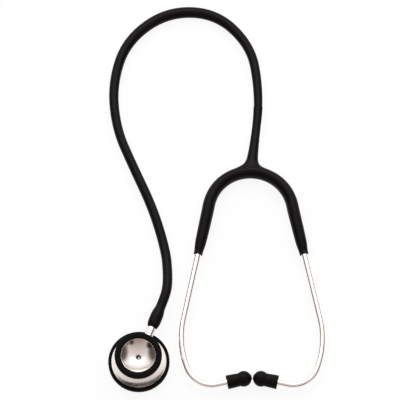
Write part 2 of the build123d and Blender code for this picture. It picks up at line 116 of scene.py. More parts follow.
def ramp(tree, factor, stops):
    """A colour ramp from (position, hex colour or grey value) stops."""
    node = add_node(tree, "ShaderNodeValToRGB", i0=factor)
    while len(node.color_ramp.elements) < len(stops):
        node.color_ramp.elements.new(0.5)
    for element, (position, tone) in zip(node.color_ramp.elements, stops):
        element.position = position
        element.color = linear(tone) if isinstance(tone, str) else [tone, tone, tone, 1]
    return node.outputs["Color"]


# %% [markdown]
# ## Soft black PVC
# The hose and the yoke are one moulding of plasticised PVC. It is a dipped or injected skin with a
# semi-gloss face: black, a little warm where light rakes it, with smooth broad highlights. Handling
# leaves it unevenly polished, so its roughness wanders over centimetres, and a faint orange peel just
# under a millimetre across breaks up the reflections. The photograph shows it nearly black in white
# surroundings, so its reflection is held well below that of a clear plastic.


# %% Hose material
def patchy_roughness(tree, place, size, low, high):
    """Roughness that wanders between two values over patches of a real size in metres."""
    cloud = add_node(tree, "ShaderNodeTexNoise", Vector=place, Scale=1 / size, Detail=3.0, Roughness=0.55)
    spread = add_node(tree, "ShaderNodeMapRange", Value=cloud.outputs["Fac"])
    for name, value in (("From Min", 0.3), ("From Max", 0.7), ("To Min", low), ("To Max", high)):
        spread.inputs[name].default_value = value
    return spread.outputs["Result"], cloud.outputs["Fac"]


soft_pvc, tree, shader = new_material("soft_black_pvc")
place = add_node(tree, "ShaderNodeTexCoord").outputs["Object"]
roughness, patches = patchy_roughness(tree, place, 18 * mm, 0.30, 0.40)
colour = ramp(tree, patches, [(0.3, "#0c0809"), (0.7, "#130e0f")])
tree.links.new(colour, shader.inputs["Base Color"])
tree.links.new(roughness, shader.inputs["Roughness"])
shader.inputs["IOR"].default_value = 1.53
shader.inputs["Specular IOR Level"].default_value = 0.07
peel = add_node(tree, "ShaderNodeTexNoise", Vector=place, Scale=1 / (0.9 * mm), Detail=2.0)
relief = add_node(tree, "ShaderNodeBump", Strength=0.12, Distance=0.02 * mm, Height=peel.outputs["Fac"])
tree.links.new(relief.outputs["Normal"], shader.inputs["Normal"])
print("made", soft_pvc.name)

# %% [markdown]
# ## The hose
# A hose that lies on a table is a length of something flexible, so it is drawn as a smooth NURBS curve
# through the same route that the CAD model takes. It leaves the chestpiece a centimetre up, comes down
# to the table, goes once round, and runs into the yoke. The wall stands a little wider round the top of
# the loop, where the bend squeezes it, and narrows where it runs into the moulded neck. The curve becomes
# a mesh.

# %% Hose
hose_diameter = 7.7
hose_height = hose_diameter / 2
stem_height = 10.4
stem_heading = radians(68.5)
stem_way = Vector((cos(stem_heading), sin(stem_heading), 0))
hose_start = stem_way * 46.0 + Vector((0, 0, stem_height))
hose_exit = stem_way * 54.5 + Vector((0, 0, stem_height))
hose_route = [
    (hose_start.x, hose_start.y, stem_height, 1.0),
    (hose_exit.x, hose_exit.y, stem_height, 1.01),
    (21.8, 59.4, 9.7, 1.01),
    (21.9, 71.5, 7.6, 1.0),
    (20.3, 90.0, 4.0, 1.01),
    (10.0, 125.7, 3.85, 1.0),
    (-7.5, 164.3, 3.85, 0.98),
    (-20.6, 195.5, 3.85, 0.98),
    (-24.4, 234.6, 3.95, 1.02),
    (-13.3, 273.4, 4.3, 1.12),
    (19.8, 299.7, 4.6, 1.2),
    (60.4, 298.5, 4.5, 1.15),
    (88.8, 269.2, 4.0, 1.0),
    (95.1, 233.5, 3.85, 0.98),
    (94.6, 214.0, 3.85, 0.9),
]

hose_curve = bpy.data.curves.new("hose_curve", "CURVE")
hose_curve.dimensions = "3D"
hose_curve.bevel_depth = hose_height * mm
hose_curve.bevel_resolution = 10
hose_curve.resolution_u = 14
hose_curve.use_fill_caps = True
spline = hose_curve.splines.new("NURBS")
spline.points.add(len(hose_route) - 1)
for point, (x, y, z, swell) in zip(spline.points, hose_route):
    point.co = (x * mm, y * mm, z * mm, 1)
    point.radius = swell
spline.order_u = 3
spline.use_endpoint_u = True
guide = bpy.data.objects.new("hose_guide", hose_curve)
scene.collection.objects.link(guide)


def drawn_mesh():
    """The mesh of the guide curve as it stands: a tube, or a bare line when it has no bevel."""
    bpy.context.view_layer.update()
    return bpy.data.meshes.new_from_object(guide.evaluated_get(bpy.context.evaluated_depsgraph_get()))


hose_mesh = drawn_mesh()
hose_curve.bevel_depth = 0
hose_line = [tuple(vert.co) for vert in drawn_mesh().vertices]
bpy.data.objects.remove(guide)
for face in hose_mesh.polygons:
    face.use_smooth = True
hose_mesh.materials.clear()
hose_mesh.materials.append(soft_pvc)
hose = bpy.data.objects.new("hose_skin", hose_mesh)
scene.collection.objects.link(hose)
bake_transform(hose)
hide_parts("hose")
print("hose has", len(hose_route), "control points and", len(hose_mesh.polygons), "faces")

# %% [markdown]
# ## Shapes turned on a lathe
# Most of the hard pieces are round about one axis, and are really turned on a lathe or moulded in a
# turned mould. The way to make them here is the same: draw half the outline, spin it, and round the
# sharp rings with a small bevel. A mirror finish shows every facet, so the spin takes many steps.


# %% Lathe helpers
def bowed(start, end, sag, count):
    """Points of a shallow arc from start to end, bowed to the left by sag, ends included."""
    start, end = Vector(start), Vector(end)
    side = Vector((start.y - end.y, end.x - start.x)).normalized()
    steps = [i / count for i in range(count + 1)]
    return [tuple(start.lerp(end, t) + side * sag * 4 * t * (1 - t)) for t in steps]


def turned(outline, steps=96, rounding=0.0, segments=3):
    """Spin a closed outline of (along, radius) points in mm about the X axis, its sharp rings rounded."""
    bm = bmesh.new()
    corners = [bm.verts.new((along, radius, 0)) for along, radius in outline]
    edges = [bm.edges.new(pair) for pair in zip(corners, corners[1:] + corners[:1])]
    bmesh.ops.spin(
        bm, geom=corners + edges, cent=(0, 0, 0), axis=(1, 0, 0), angle=2 * pi, steps=steps, use_merge=True
    )
    bmesh.ops.remove_doubles(bm, verts=bm.verts, dist=1e-4)
    bmesh.ops.dissolve_degenerate(bm, edges=bm.edges, dist=1e-5)
    bmesh.ops.recalc_face_normals(bm, faces=bm.faces)
    if rounding:
        sharp = [e for e in bm.edges if len(e.link_faces) == 2 and e.calc_face_angle() > radians(28)]
        bmesh.ops.bevel(
            bm,
            geom=sharp,
            offset=rounding,
            affect="EDGES",
            segments=segments,
            profile=0.5,
            material=-1,
            clamp_overlap=True,
        )
    return bm


def finish_piece(bm, name, material, place=None, crease=40):
    """Scale a bmesh in mm to metres, put it in its place and make it a smooth-shaded object."""
    bmesh.ops.transform(bm, matrix=Matrix.Scale(mm, 4) @ (place or Matrix.Identity(4)), verts=bm.verts)
    for face in bm.faces:
        face.smooth = True
    for edge in bm.edges:
        edge.smooth = len(edge.link_faces) != 2 or edge.calc_face_angle() < radians(crease)
    mesh = bpy.data.meshes.new(name)
    bm.to_mesh(mesh)
    bm.free()
    mesh.materials.append(material)
    piece = bpy.data.objects.new(name, mesh)
    scene.collection.objects.link(piece)
    return piece


upright = Matrix.Rotation(-pi / 2, 4, "Y")
along_stem = Matrix.Translation((0, 0, stem_height)) @ Matrix.Rotation(stem_heading, 4, "Z")

# %% [markdown]
# ## Polished steel
# The chestpiece is turned from stainless steel bar and buffed to a mirror. What shows is the room, bent
# by the curve of the dish. Turning leaves faint rings a millimetre or two apart, and they only soften
# the reflection across the turning direction. The ear tubes and the spring weren't turned and have none.


# %% Steel materials
def metal(name, tint, low, high, groove_size=0, groove_depth=0, groove_axis=None):
    """A bright metal. If it was turned, faint tool marks run round an axis of the frame."""
    material, tree, shader = new_material(name)
    shader.inputs["Metallic"].default_value = 1.0
    shader.inputs["Base Color"].default_value = linear(tint)
    place = add_node(tree, "ShaderNodeTexCoord").outputs["Object"]
    roughness, _ = patchy_roughness(tree, place, 9 * mm, low, high)
    tree.links.new(roughness, shader.inputs["Roughness"])
    if not groove_size:
        return material
    flat = add_node(tree, "ShaderNodeVectorMath", {"operation": "MULTIPLY"}, i0=place, i1=groove_axis)
    reach = add_node(tree, "ShaderNodeVectorMath", {"operation": "LENGTH"}, i0=flat.outputs["Vector"])
    rings = add_node(
        tree,
        "ShaderNodeTexNoise",
        {"noise_dimensions": "1D"},
        W=reach.outputs["Value"],
        Scale=1 / groove_size,
        Detail=2.0,
    )
    relief = add_node(
        tree, "ShaderNodeBump", Strength=0.25, Distance=groove_depth, Height=rings.outputs["Fac"]
    )
    tree.links.new(relief.outputs["Normal"], shader.inputs["Normal"])
    return material


polished_steel = metal("polished_stainless_steel", "#e9e4df", 0.13, 0.19, 1.5 * mm, 0.0006 * mm, (1, 1, 0))
plated_brass = metal("bright_plated_tube", "#f5f1ee", 0.12, 0.2)
# Inside the sound port the steel is rougher, and its darker tint is painted shade in the recess.
bore_steel_painted_shade = metal("bore_steel_with_painted_shade", "#4a4542", 0.4, 0.55)
spring_steel = metal("tempered_spring_steel", "#a9a7a6", 0.25, 0.38)
print("made", polished_steel.name, plated_brass.name, spring_steel.name)

# %% [markdown]
# ## Moulded black rubber and plastic
# The two rings that keep cold steel off the skin are moulded rubber with a satin face, far less shiny
# than the hose. The ear tips are softer still and hold a trace of bloom. Each has a fine grain from the
# spark-eroded mould, drawn here at a third of a millimetre so that it shows. Their reflection is held
# low for the same reason as the hose's.


# %% Rubber materials
def moulded(name, dark, light, low, high, grain, depth, ior=1.5):
    """A moulded polymer: two close tones, uneven polish and a fine mould grain."""
    material, tree, shader = new_material(name)
    place = add_node(tree, "ShaderNodeTexCoord").outputs["Object"]
    roughness, patches = patchy_roughness(tree, place, 7 * mm, low, high)
    colour = ramp(tree, patches, [(0.3, dark), (0.7, light)])
    tree.links.new(colour, shader.inputs["Base Color"])
    tree.links.new(roughness, shader.inputs["Roughness"])
    shader.inputs["IOR"].default_value = ior
    shader.inputs["Specular IOR Level"].default_value = 0.06
    pores = add_node(tree, "ShaderNodeTexNoise", Vector=place, Scale=1 / grain, Detail=3.0)
    relief = add_node(tree, "ShaderNodeBump", Strength=0.3, Distance=depth, Height=pores.outputs["Fac"])
    tree.links.new(relief.outputs["Normal"], shader.inputs["Normal"])
    return material


ring_rubber = moulded("moulded_ring_rubber", "#060505", "#0c0a0a", 0.50, 0.62, 0.33 * mm, 0.010 * mm, 1.48)
tip_pvc = moulded("soft_ear_tip_pvc", "#0b0808", "#141011", 0.38, 0.5, 0.4 * mm, 0.012 * mm, 1.5)
nitrile = moulded("nitrile_seal", "#101010", "#191919", 0.45, 0.6, 0.3 * mm, 0.010 * mm)
hard_plastic = moulded("hard_black_acetal", "#141414", "#1d1d1d", 0.3, 0.42, 0.3 * mm, 0.006 * mm)
print("made", ring_rubber.name, tip_pvc.name)

# %% [markdown]
# ## Glass-epoxy laminate
# The diaphragm is a thin disc punched from glass cloth set in resin, an ivory, slightly see-through
# sheet. Close up the weave shows as a fine basket of threads, 0.6 mm apart, under a smooth resin skin.

# %% Diaphragm material
laminate, tree, shader = new_material("glass_epoxy_laminate")
place = add_node(tree, "ShaderNodeTexCoord").outputs["Object"]
thread_spacing = 0.6 * mm
threads = []
for direction in ("X", "Y"):
    wave = add_node(
        tree,
        "ShaderNodeTexWave",
        {"bands_direction": direction},
        Vector=place,
        Scale=2 * pi / (20 * thread_spacing),
        Distortion=0.4,
    )
    threads.append(wave.outputs["Fac"])
crossing = add_node(tree, "ShaderNodeMath", {"operation": "MULTIPLY"}, i0=threads[0], i1=threads[1])
weave = crossing.outputs["Value"]
colour = ramp(tree, weave, [(0.0, "#bdb59f"), (1.0, "#d3ccb8")])
tree.links.new(colour, shader.inputs["Base Color"])
roughness, _ = patchy_roughness(tree, place, 6 * mm, 0.28, 0.4)
tree.links.new(roughness, shader.inputs["Roughness"])
relief = add_node(tree, "ShaderNodeBump", Strength=0.3, Distance=0.01 * mm, Height=weave)
tree.links.new(relief.outputs["Normal"], shader.inputs["Normal"])
print("made", laminate.name)

# %% [markdown]
# ## The chestpiece
# One turned body: a shallow chamber closed by the diaphragm below, a trumpet-shaped waist, and the bell
# above, with a sound port in the middle of its dish. The port is drilled and isn't polished inside, so its
# steel is rougher there, and its darker tint is painted shade in the recess. The boss that holds the stem
# stands out of the waist. Its outline is spun about the stem and joined on.

# %% Chestpiece body
body_outline = [
    (3.3, 1.4),
    (1.9, 20.5),
    (1.2, 20.5),
    (1.2, 21.93),
    (4.5, 21.93),
]
body_outline += [(z, r) for r, z in bowed((21.2, 4.5), (8.5, 9.4), 1.6, 14)]
body_outline += [(z, r) for r, z in bowed((8.5, 13.4), (15.3, 20.02), 0.9, 10)]
body_outline += [(20.02, 16.9), (21.62, 16.9)]
body_outline += [(z, r) for r, z in bowed((13.23, 21.62), (2.1, 15.8), 0.9, 16)]
body_outline += [(14.75, 2.1), (14.75, 1.4)]
body = turned(body_outline, steps=128, rounding=0.12, segments=2)
bmesh.ops.transform(body, matrix=upright, verts=body.verts)
boss = turned([(6.0, 4.9), (13.5, 5.2), (13.5, 4.1), (9.65, 4.1), (9.65, 2.55), (6.0, 2.55)], 64, 0.25, 2)
bmesh.ops.transform(boss, matrix=along_stem, verts=boss.verts)
boss_mesh = bpy.data.meshes.new("boss")
boss.to_mesh(boss_mesh)
boss.free()
body.from_mesh(boss_mesh)
bpy.data.meshes.remove(boss_mesh)
chest = finish_piece(body, "chestpiece_steel", polished_steel)
chest.data.materials.append(bore_steel_painted_shade)
# Faces inside the sound port take the darker steel: painted shade in the recess.
for face in chest.data.polygons:
    if hypot(face.center.x, face.center.y) < 2.0 * mm and face.center.z < 15.6 * mm:
        face.material_index = 1
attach(chest, "chestpiece")
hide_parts("chestpiece_body")
print("chestpiece body", len(chest.data.polygons), "faces")

# %% [markdown]
# The rings snap over the two rims. Each is a soft moulding with full, rounded edges, and the lower one
# also holds the diaphragm.

# %% Rings
bell_ring = turned(
    [
        (21.65, 13.2),
        (21.65, 16.93),
        (19.99, 16.93),
        (19.99, 15.9),
        (18.89, 15.9),
        (18.89, 17.7),
        (19.4, 18.2),
        (21.7, 18.2),
        (22.3, 17.85),
        (22.5, 17.2),
        (22.5, 14.2),
        (22.35, 13.6),
    ],
    steps=128,
    rounding=0.2,
    segments=2,
)
bell_ring = finish_piece(bell_ring, "bell_ring", ring_rubber, upright)
diaphragm_ring = turned(
    [
        (0.32, 21.1),
        (0.32, 23.1),
        (0.95, 23.75),
        (4.6, 23.75),
        (5.2, 23.45),
        (5.4, 22.9),
        (5.4, 21.4),
        (5.1, 21.2),
        (4.53, 21.2),
        (4.53, 21.96),
        (0.72, 21.96),
        (0.72, 21.1),
    ],
    steps=128,
    rounding=0.12,
    segments=2,
)
diaphragm_ring = finish_piece(diaphragm_ring, "diaphragm_ring", ring_rubber, upright)
for ring, node in ((bell_ring, "bell_rim"), (diaphragm_ring, "diaphragm_rim")):
    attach(ring, "chestpiece")
    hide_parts(node)
print("rings made")

# %% [markdown]
# The stem is a hollow shaft with a flange that the ring nut traps, a plain bright length that shows,
# and a barb for the hose. Inside the chestpiece it has a groove for the click stop, and one for the seal.

# %% Stem and the hose's stretched end
stem = turned(
    [
        (-4.8, 0.0),
        (-4.8, 2.5),
        (-4.35, 2.5),
        (-4.35, 2.2),
        (-2.05, 2.2),
        (-2.05, 2.5),
        (5.0, 2.5),
        (5.0, 1.95),
        (5.8, 1.95),
        (5.8, 2.5),
        (9.7, 2.5),
        (9.7, 4.05),
        (10.7, 4.05),
        (10.7, 3.35),
        (27.2, 3.35),
        (27.2, 2.35),
        (32.8, 2.35),
        (36.0, 3.2),
        (42.5, 2.35),
        (42.5, 1.5),
        (1.6, 1.5),
        (1.6, 0.0),
    ],
    steps=64,
    rounding=0.12,
    segments=2,
)
stem = finish_piece(stem, "stem_steel", polished_steel, along_stem)
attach(stem, "chest_end")
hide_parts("stem")

boot_outline = [(46.0, 3.86), (46.0, 2.0), (42.53, 2.0), (42.53, 2.38), (36.0, 3.23), (32.8, 2.38)]
boot_outline += [(27.2, 2.38)]
boot_outline += [(27.2, 3.35), (27.25, 3.62), (27.6, 3.75)]
boot_outline += [(28.6, 4.2), (30.2, 4.68), (32.0, 4.93), (35.0, 4.95), (38.0, 4.93), (40.0, 4.72)]
boot_outline += [(41.6, 4.42), (43.0, 4.1), (44.6, 3.93)]
boot = finish_piece(turned(boot_outline, 64), "stretched_hose_end", soft_pvc, along_stem, 60)
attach(boot, "chest_end")
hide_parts("hose_end")
print("stem and hose end made")

# %% [markdown]
# ## The yoke
# The yoke is one soft moulding: the neck flares into an arch, and the arch runs down into the two
# sleeves that grip the ear tubes. A smooth moulding like this is drawn as a coarse cage of eight-sided
# rings, which a Subdivision Surface rounds off. The cage is spun round the arch, drawn out along the
# legs, mirrored, and opened at the crown for the neck.
#
# In use the arch bends as the ear tubes are pulled apart, so the finished skin is cut into a middle
# that stays with the hose and two arms.

# %% Yoke cage
headset_height = 6.1
headset = Matrix.Translation((87.6, 156.3, headset_height))
arch_radius = 33.5
leg_splay = 12.0
tube_start = 13.9
cuff_length = 8.0
arch_end = 90 - leg_splay
leg_heading = radians(leg_splay - 90)
leg_way = Vector((cos(leg_heading), sin(leg_heading), 0))
swell = 1 / (2 / 3 + cos(radians(45)) / 3)
arch_swell = 3 / (2 + cos(radians(13)))


def arch_point(angle, offset=0.0):
    """A point on the arch, by its angle from the crown in degrees."""
    radius = arch_radius + offset
    return Vector((radius * sin(radians(angle)), radius * cos(radians(angle)) - arch_radius, 0))


def along_leg(distance):
    """A point on the right leg's centre line."""
    return arch_point(arch_end) + leg_way * distance


def shape_ring(verts, centre, across, width, depth):
    """Move a ring's corners onto an ellipse round a centre, each at its own angle."""
    for vert in verts:
        out = vert.co - centre
        angle = atan2(out.z / depth, out.dot(across) / width)
        vert.co = centre + across * (cos(angle) * width / 2) + Vector((0, 0, sin(angle) * depth / 2))


cage = bmesh.new()
ring = bmesh.ops.create_circle(cage, segments=8, radius=1)["verts"]
bmesh.ops.rotate(cage, verts=ring, matrix=Matrix.Rotation(radians(22.5), 3, "Z"))
bmesh.ops.rotate(cage, verts=ring, matrix=Matrix.Rotation(radians(90), 3, "Y"))
bmesh.ops.rotate(cage, verts=ring, matrix=Matrix.Rotation(radians(22.5), 3, "X"))
bmesh.ops.scale(cage, verts=ring, vec=(1, 9.9 / 2 * swell, 12.2 / 2 * swell))
bmesh.ops.translate(cage, verts=ring, vec=(0, arch_radius * (arch_swell - 1), 0))
ends = bmesh.ops.spin(
    cage,
    geom=ring + cage.edges[:],
    cent=(0, -arch_radius, 0),
    axis=(0, 0, 1),
    angle=radians(-arch_end),
    steps=6,
)["geom_last"]
# Rings of the leg and its sleeve: distance from the end of the arch, width, depth
leg_rings = [(4, 9.9, 12.2), (14, 9.85, 11.2), (29.5, 9.5, 9.6), (35.5, 9.0, 9.0), (40.2, 7.6, 7.6)]
leg_rings += [(42.2, 7.1, 7.1), (43.0, 7.45, 7.45), (43.75, 7.5, 7.5), (43.9, 7.1, 7.1)]
leg_rings += [(43.9, 5.0, 5.0), (43.5, 4.8, 4.8), (36, 4.8, 4.8)]
across_leg = Vector((-leg_way.y, leg_way.x, 0))
for distance, width, depth in leg_rings:
    edges = [g for g in ends if isinstance(g, bmesh.types.BMEdge)]
    ends = bmesh.ops.extrude_edge_only(cage, edges=edges)["geom"]
    verts = [g for g in ends if isinstance(g, bmesh.types.BMVert)]
    middle = sum((v.co for v in verts), Vector()) / 8
    bmesh.ops.translate(cage, verts=verts, vec=along_leg(distance) - middle)
    shape_ring(verts, along_leg(distance), across_leg, width * swell, depth * swell)
bmesh.ops.contextual_create(cage, geom=[g for g in ends if isinstance(g, bmesh.types.BMEdge)])
bmesh.ops.mirror(cage, geom=cage.verts[:] + cage.edges[:] + cage.faces[:], axis="X", merge_dist=0.05)
print("arch and legs", len(cage.faces), "faces")

# %% Neck
reach = arch_radius * sin(radians(13)) * 1.3
crown_faces = [
    f
    for f in cage.faces
    if abs(f.calc_center_median().x) < reach and f.calc_center_median().y > 2.5
]
crown_edges = set(e for f in crown_faces for e in f.edges)
hole = [e for e in crown_edges if sum(f in crown_faces for f in e.link_faces) == 1]
bmesh.ops.delete(cage, geom=crown_faces, context="FACES")
hole = [e for e in hole if e.is_valid]
# Rings of the neck: distance above the crown, lean to the right, height, width, depth
neck_rings = [
    (8.0, 1.2, 5.95, 10.0, 10.2),
    (13.2, 2.0, 5.8, 8.0, 9.0),
    (25.3, 3.6, 5.1, 7.0, 7.5),
    (39.1, 5.3, 4.4, 6.5, 6.6),
    (49.0, 6.4, 4.0, 6.8, 6.8),
    (57.5, 6.97, 3.85, 7.08, 7.08),
    (58.7, 7.0, 3.85, 7.08, 7.08),
]
ends = hole
for rise, lean, height, width, depth in neck_rings:
    edges = [g for g in ends if isinstance(g, bmesh.types.BMEdge)]
    ends = bmesh.ops.extrude_edge_only(cage, edges=edges)["geom"]
    verts = [g for g in ends if isinstance(g, bmesh.types.BMVert)]
    for vert in verts:
        vert.co.y = rise
    middle = sum((v.co for v in verts), Vector()) / len(verts)
    target = Vector((lean, rise, height - headset_height))
    bmesh.ops.translate(cage, verts=verts, vec=target - middle)
    shape_ring(verts, target, Vector((1, 0, 0)), width * swell, depth * swell)
bmesh.ops.contextual_create(cage, geom=[g for g in ends if isinstance(g, bmesh.types.BMEdge)])
bmesh.ops.recalc_face_normals(cage, faces=cage.faces)
print("yoke cage", len(cage.verts), "corners, neck ring of", len(verts))

# %% [markdown]
# The Subdivision Surface is worked out once, and the smooth skin is then cut at 17 degrees each side of
# the crown. All three pieces keep the whole skin's normals, so the light runs over the cuts unbroken.

# %% Yoke skin
cage_mesh = bpy.data.meshes.new("yoke_cage")
cage.to_mesh(cage_mesh)
cage.free()
cage_object = bpy.data.objects.new("yoke_cage", cage_mesh)
scene.collection.objects.link(cage_object)
rounded = cage_object.modifiers.new("rounded", "SUBSURF")
rounded.levels = 3
rounded.render_levels = 3
bpy.context.view_layer.update()
skin_mesh = bpy.data.meshes.new_from_object(cage_object.evaluated_get(bpy.context.evaluated_depsgraph_get()))
bpy.data.objects.remove(cage_object)

cut_angle = 17.0
arch_centre = Vector((0, -arch_radius, 0))
cuts = {}
skin = bmesh.new()
skin.from_mesh(skin_mesh)
for side in (-1, 1):
    cuts[side] = Vector((side * cos(radians(cut_angle)), -sin(radians(cut_angle)), 0))
    bmesh.ops.bisect_plane(
        skin,
        geom=skin.verts[:] + skin.edges[:] + skin.faces[:],
        dist=1e-4,
        plane_co=arch_centre,
        plane_no=cuts[side],
    )
skin.to_mesh(skin_mesh)
skin.free()


def part_of_skin(name, keep):
    """The faces of the yoke's skin that keep() picks, capped where they were cut, as an object."""
    piece = bmesh.new()
    piece.from_mesh(skin_mesh)
    piece.normal_update()
    normal_layer = piece.verts.layers.float_vector.new("whole_normal")
    for vert in piece.verts:
        vert[normal_layer] = vert.normal
    drop = [f for f in piece.faces if not keep(f.calc_center_median())]
    bmesh.ops.delete(piece, geom=drop, context="FACES")
    rim = [e for e in piece.edges if len(e.link_faces) == 1]
    bmesh.ops.holes_fill(piece, edges=rim, sides=0)
    piece.verts.ensure_lookup_table()
    normals = [tuple(vert[normal_layer]) for vert in piece.verts]
    made = finish_piece(piece, name, soft_pvc, headset, 179)
    made.data.normals_split_custom_set_from_vertices(normals)
    return made


def beyond(side):
    """A test for points past the cut on one side of the crown."""
    return lambda point: (point - arch_centre).dot(cuts[side]) > 0


yoke_middle = part_of_skin("yoke_middle", lambda point: not beyond(-1)(point) and not beyond(1)(point))
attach(yoke_middle, "tubing")
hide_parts("yoke")


for side, word in ((-1, "left"), (1, "right")):
    arm = part_of_skin(word + "_yoke_arm", beyond(side))
    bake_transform(arm)
    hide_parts(word + "_arm_sleeve")
    print(arm.name, len(arm.data.polygons), "faces")

# %% [markdown]
# Inside the arch lies a leaf spring, a strip of tempered steel with a split cuff at each end that
# clips round the ear tube. It is made in two halves that meet at the crown.

# %% Leaf spring
cuff_outline = [(0, 2.43), (cuff_length, 2.43), (cuff_length, 3.18), (0, 3.18)]
for side, word in ((-1, "left"), (1, "right")):
    strip = bmesh.new()
    blank = bmesh.ops.create_circle(strip, segments=4, radius=sqrt(0.5), cap_ends=False)["verts"]
    bmesh.ops.rotate(strip, verts=blank, matrix=Matrix.Rotation(radians(45), 3, "Z"))
    bmesh.ops.rotate(strip, verts=blank, matrix=Matrix.Rotation(radians(90), 3, "Y"))
    bmesh.ops.scale(strip, verts=blank, vec=(1, 0.8, 4.6))
    bmesh.ops.translate(strip, verts=blank, vec=(0, -3.0, 0))
    last = bmesh.ops.spin(
        strip,
        geom=blank + strip.edges[:],
        cent=(0, -arch_radius, 0),
        axis=(0, 0, 1),
        angle=radians(-arch_end),
        steps=26,
    )["geom_last"]
    for length in (tube_start, cuff_length):
        edges = [g for g in last if isinstance(g, bmesh.types.BMEdge)]
        last = bmesh.ops.extrude_edge_only(strip, edges=edges)["geom"]
        verts = [g for g in last if isinstance(g, bmesh.types.BMVert)]
        bmesh.ops.translate(strip, verts=verts, vec=leg_way * length)
    bmesh.ops.holes_fill(strip, edges=[e for e in strip.edges if len(e.link_faces) == 1], sides=0)
    cuff = bmesh.new()
    wall = [cuff.verts.new((along, r, 0)) for along, r in cuff_outline]
    edges = [cuff.edges.new(pair) for pair in zip(wall, wall[1:] + wall[:1])]
    bmesh.ops.rotate(cuff, verts=wall, matrix=Matrix.Rotation(radians(40), 3, "X"))
    bmesh.ops.spin(cuff, geom=wall + edges, cent=(0, 0, 0), axis=(1, 0, 0), angle=radians(280), steps=28)
    bmesh.ops.holes_fill(cuff, edges=[e for e in cuff.edges if len(e.link_faces) == 1], sides=0)
    bmesh.ops.transform(
        cuff,
        matrix=Matrix.Translation(along_leg(tube_start)) @ Matrix.Rotation(leg_heading, 4, "Z"),
        verts=cuff.verts,
    )
    cuff_mesh = bpy.data.meshes.new("cuff")
    cuff.to_mesh(cuff_mesh)
    cuff.free()
    strip.from_mesh(cuff_mesh)
    bpy.data.meshes.remove(cuff_mesh)
    bmesh.ops.scale(strip, verts=strip.verts, vec=(side, 1, 1))
    bmesh.ops.recalc_face_normals(strip, faces=strip.faces)
    leaf = finish_piece(strip, word + "_leaf_spring", spring_steel, headset)
    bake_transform(leaf)
    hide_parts("leaf_spring")
print("leaf spring made in two halves")

# %% [markdown]
# ## The ear tubes
# Each is 3/16 inch brass tube, bent twice and plated. The bender's work is repeated step by step: a
# ring is drawn out along the straight runs and spun round the middle of each bend.

# %% Ear tubes
tube_radius = 4.76 / 2
knee_distance, knee_turn, knee_radius = 118.4, 32.0, 70
shin_length, corner_radius, tip_rise = 38.9, 20, 12.4
bulb_radius, nub_radius, tip_length, tube_in_tip = 6.1, 1.95, 19.25, 8.0
half_tip_gap = 0.15
knee = along_leg(knee_distance)
shin_heading = leg_splay - 90 - knee_turn
shin_way = Vector((cos(radians(shin_heading)), sin(radians(shin_heading)), 0))
corner = knee + shin_way * shin_length
tip_heading = 180 - tip_rise
tip_way = Vector((cos(radians(tip_heading)), sin(radians(tip_heading)), 0))
corner_turn = 360 - tip_heading + shin_heading
nub_reach = (bulb_radius + 0.1) * cos(radians(tip_rise)) + nub_radius * sin(radians(tip_rise))
bulb_reach = (corner.x - nub_reach - half_tip_gap) / cos(radians(tip_rise))
tip_base_reach = bulb_reach + bulb_radius - tip_length
knee_run = knee_radius * tan(radians(knee_turn / 2))
corner_run = corner_radius * tan(radians(corner_turn / 2))
bender = [
    ("run", knee_distance - tube_start - knee_run),
    ("bend", knee_radius, knee_turn),
    ("run", shin_length - knee_run - corner_run),
    ("bend", corner_radius, corner_turn),
    ("run", tip_base_reach + tube_in_tip - corner_run),
]
for side, word in ((-1, "left"), (1, "right")):
    tube = bmesh.new()
    ring = bmesh.ops.create_circle(tube, segments=48, radius=tube_radius)["verts"]
    bmesh.ops.rotate(tube, verts=ring, matrix=Matrix.Rotation(radians(90), 3, "Y"))
    bmesh.ops.rotate(tube, verts=ring, matrix=Matrix.Rotation(leg_heading, 3, "Z"))
    bmesh.ops.translate(tube, verts=ring, vec=along_leg(tube_start))
    last, heading, spot = ring + tube.edges[:], leg_splay - 90, along_leg(tube_start)
    for step in bender:
        way = Vector((cos(radians(heading)), sin(radians(heading)), 0))
        if step[0] == "run":
            pieces = max(1, round(step[1] / 8))
            for _ in range(pieces):
                edges = [g for g in last if isinstance(g, bmesh.types.BMEdge)]
                last = bmesh.ops.extrude_edge_only(tube, edges=edges)["geom"]
                verts = [g for g in last if isinstance(g, bmesh.types.BMVert)]
                bmesh.ops.translate(tube, verts=verts, vec=way * (step[1] / pieces))
            spot = spot + way * step[1]
        else:
            inward = Vector((way.y, -way.x, 0))
            middle = spot + inward * step[1]
            turn = radians(-step[2])
            ring = [g for g in last if not isinstance(g, bmesh.types.BMFace)]
            steps = int(step[2] / 2.5)
            spun = bmesh.ops.spin(tube, geom=ring, cent=middle, axis=(0, 0, 1), angle=turn, steps=steps)
            last = spun["geom_last"]
            spot = middle + Matrix.Rotation(turn, 3, "Z") @ (spot - middle)
            heading -= step[2]
    bmesh.ops.remove_doubles(tube, verts=tube.verts, dist=1e-4)
    bmesh.ops.holes_fill(tube, edges=[e for e in tube.edges if len(e.link_faces) == 1], sides=0)
    bmesh.ops.scale(tube, verts=tube.verts, vec=(side, 1, 1))
    bmesh.ops.recalc_face_normals(tube, faces=tube.faces)
    tube = finish_piece(tube, word + "_bent_tube", plated_brass, headset)
    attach(tube, word + "_earpiece")
    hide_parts(word + "_ear_tube")
    print(tube.name, "ends at", [round(c, 1) for c in spot])

# %% [markdown]
# ## The ear tips
# Soft bulbs on a short sleeve, which snap over a bead on the end of each tube. The sleeve flares
# slightly at its mouth, and the bulb ends in a flat round the sound hole.

